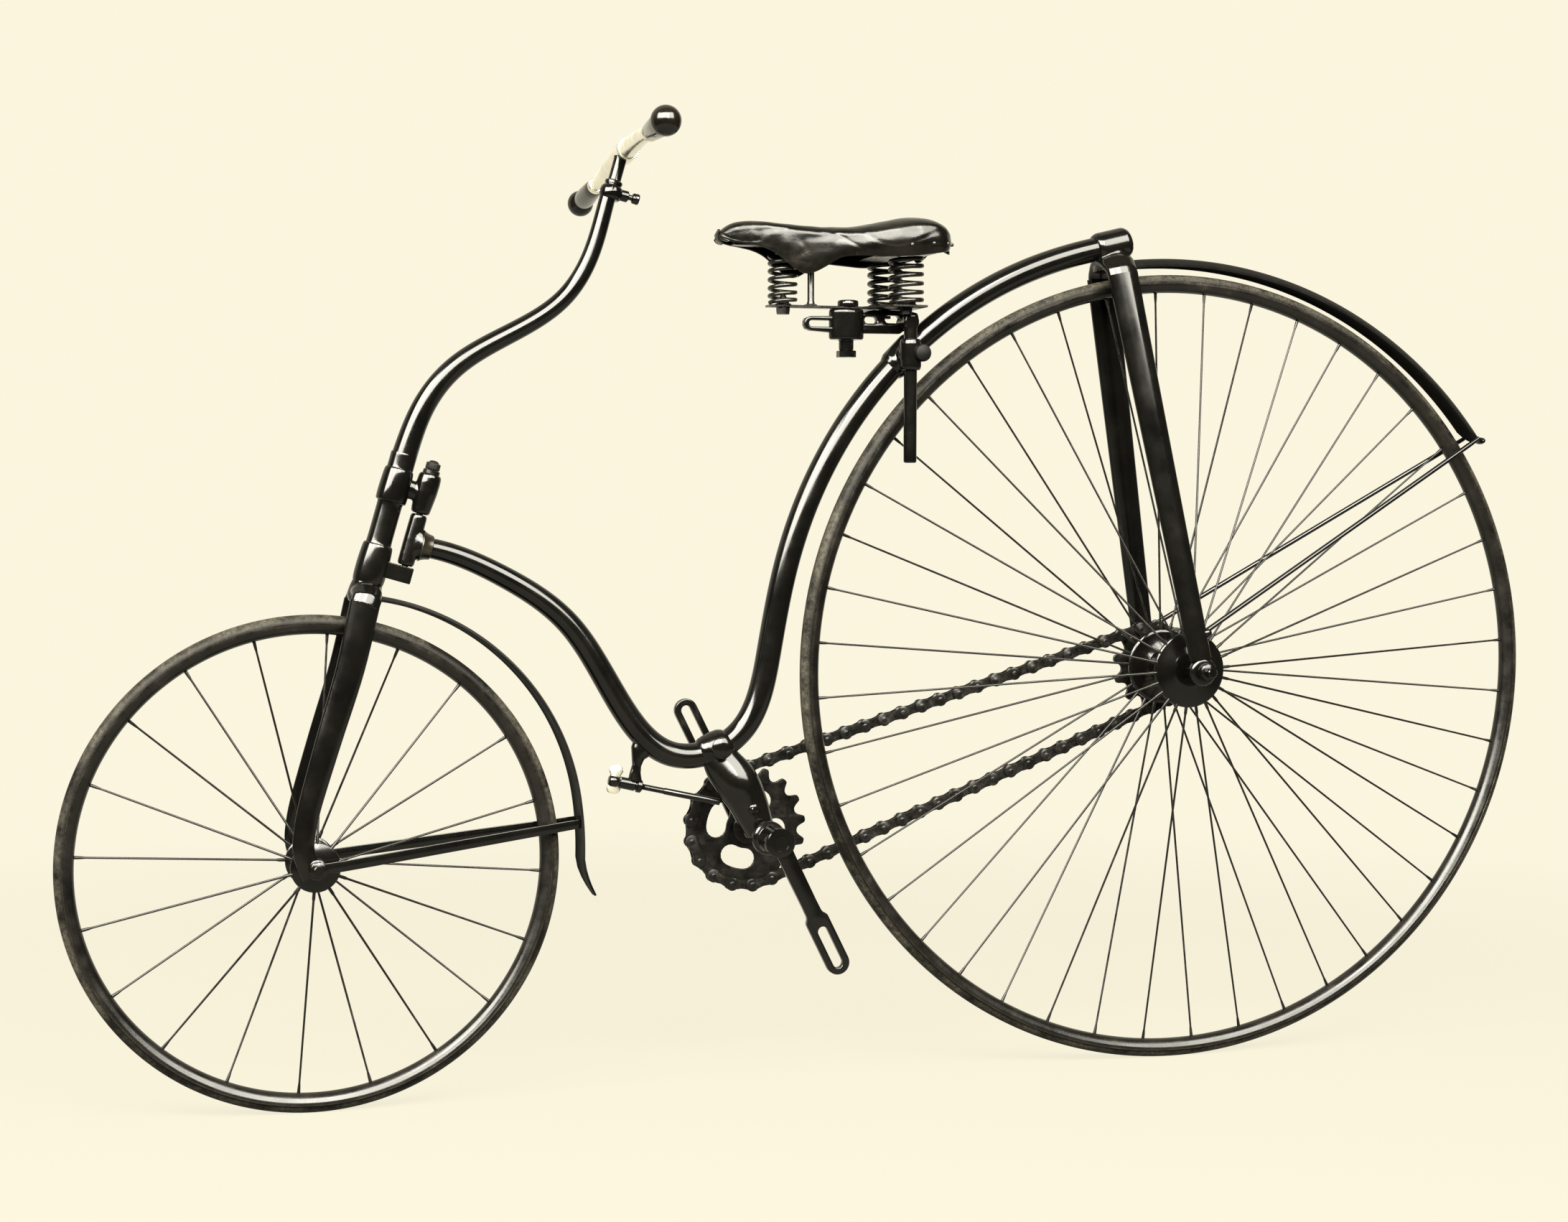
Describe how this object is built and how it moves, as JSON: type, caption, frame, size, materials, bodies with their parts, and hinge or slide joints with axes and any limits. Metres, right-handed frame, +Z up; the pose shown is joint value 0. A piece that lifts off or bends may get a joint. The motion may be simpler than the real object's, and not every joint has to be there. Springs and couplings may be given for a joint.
{
  "type": "safety bicycle",
  "caption": "Early safety bicycle with a small steered front wheel, a curved single backbone, a chain-driven rear wheel, a sprung leather saddle and slotted cranks without pedals.",
  "frame": {"origin": "the rider's place on top of the saddle, in the bicycle's middle plane", "axes": "+X forward, +Y to the bicycle's left, +Z up"},
  "size_m": [1.8137, 0.6522, 1.1],
  "materials": {
    "black_enamel": "gloss",
    "tyre_rubber": "matte",
    "nickel": "polished",
    "dark_steel": "satin",
    "spring_steel": "satin",
    "chain_steel": "satin",
    "grip_horn": "gloss",
    "saddle_leather": "worn satin"
  },
  "bodies": {
    "frame": {"steering_head": "black_enamel", "backbone_front": "black_enamel", "backbone_middle": "black_enamel", "backbone_rear": "black_enamel", "bracket_lug": "black_enamel", "bracket_hanger": "black_enamel", "adjuster_lug": "black_enamel", "adjuster_rod": "dark_steel", "chain": "chain_steel", "rear_crown": "black_enamel", "rear_fork": "black_enamel", "rear_axle": "dark_steel", "rear_mudguard": "black_enamel", "rear_mudguard_stays": "black_enamel", "seat_lug": "black_enamel", "seat_pin": "spring_steel", "saddle_clamp": "spring_steel", "saddle_base": "spring_steel", "saddle_springs": "spring_steel", "saddle_frame": "spring_steel", "saddle_leather": "saddle_leather"},
    "steering": {"steering_column": "black_enamel", "centre_bolt": "dark_steel", "fork_crown": "black_enamel", "front_fork": "black_enamel", "front_axle": "dark_steel", "front_mudguard": "black_enamel", "front_mudguard_stays": "black_enamel", "curved_stem": "black_enamel", "bar_stem": "black_enamel", "handlebar": "nickel", "grips": "grip_horn"},
    "front_wheel": {"front_tyre": "tyre_rubber", "front_rim": "black_enamel", "front_spokes": "dark_steel", "front_hub": "dark_steel"},
    "rear_wheel": {"rear_tyre": "tyre_rubber", "rear_rim": "black_enamel", "rear_spokes": "dark_steel", "rear_hub": "black_enamel", "rear_sprocket": "dark_steel"},
    "cranks": {"crank_axle": "dark_steel", "chainring": "dark_steel", "crank_left": "black_enamel", "crank_right": "black_enamel"}
  },
  "joints": [
    {"name": "steering_turn", "type": "hinge", "parent": "frame", "child": "steering", "pos_m": [0.552, 0, -0.407], "axis": [-0.2756, 0, 0.9613], "range_deg": [-40, 40]},
    {"name": "front_wheel_spin", "type": "hinge", "parent": "steering", "child": "front_wheel", "pos_m": [0.6525, 0, -0.7276], "axis": [0, 1, 0], "continuous": true},
    {"name": "rear_wheel_spin", "type": "hinge", "parent": "frame", "child": "rear_wheel", "pos_m": [-0.4, 0, -0.5244], "axis": [0, 1, 0], "continuous": true},
    {"name": "crank_spin", "type": "hinge", "parent": "frame", "child": "cranks", "pos_m": [0.132, 0, -0.712], "axis": [0, 1, 0], "continuous": true}
  ],
  "couplings": [
    {"joint": "crank_spin", "follows": "rear_wheel_spin", "ratio": 0.70588}
  ]
}
